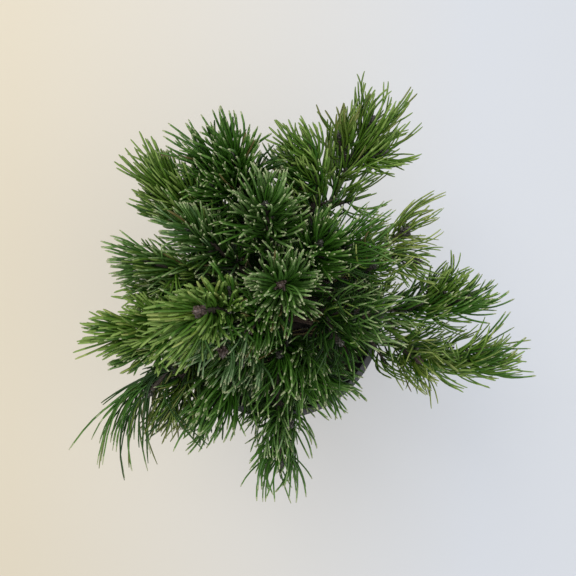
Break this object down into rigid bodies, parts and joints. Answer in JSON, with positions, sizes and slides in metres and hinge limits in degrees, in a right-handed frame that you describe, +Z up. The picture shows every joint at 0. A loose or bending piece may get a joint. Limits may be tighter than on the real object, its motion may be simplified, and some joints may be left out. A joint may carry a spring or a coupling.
{
  "type": "potted mugo pine",
  "caption": "Young mugo pine with dense brushes of paired needles on spreading boughs, growing in a round black plastic nursery pot.",
  "frame": {"origin": "centre of the pot's flat underside", "axes": "+Z up along the pot's axis, +Y towards the top of the picture, +X towards its right"},
  "size_m": [0.3556, 0.3325, 0.362],
  "materials": {
    "pot_plastic": "thin moulded black plastic, satin, a little dusty",
    "potting_soil": "moist crumbly peat with bark chips and dropped needles",
    "bark": "rough grey-brown scaly bark, redder on the young twigs",
    "needles": "stiff green needles in pairs, lighter at the shoots' ends"
  },
  "bodies": {
    "root": {"bough_bottom": "bark", "bough_centre_east": "bark", "bough_centre_right": "bark", "bough_far_left": "bark", "bough_front": "bark", "bough_left": "bark", "bough_left_high": "bark", "bough_lower_left": "bark", "bough_lower_left_mid": "bark", "bough_right": "bark", "bough_right_lower": "bark", "bough_right_upper": "bark", "bough_top_centre": "bark", "bough_top_left": "bark", "bough_top_right": "bark", "bough_upper_centre": "bark", "bough_upper_left_inner": "bark", "bough_upper_left_outer": "bark", "needles_bottom": "needles", "needles_centre": "needles", "needles_centre_east": "needles", "needles_centre_right": "needles", "needles_far_left": "needles", "needles_front": "needles", "needles_left": "needles", "needles_left_high": "needles", "needles_lower_left": "needles", "needles_lower_left_mid": "needles", "needles_right": "needles", "needles_right_lower": "needles", "needles_right_upper": "needles", "needles_top_centre": "needles", "needles_top_left": "needles", "needles_top_right": "needles", "needles_upper_centre": "needles", "needles_upper_left_inner": "needles", "needles_upper_left_outer": "needles", "pot": "pot_plastic", "soil": "potting_soil", "trunk": "bark"}
  },
  "joints": []
}
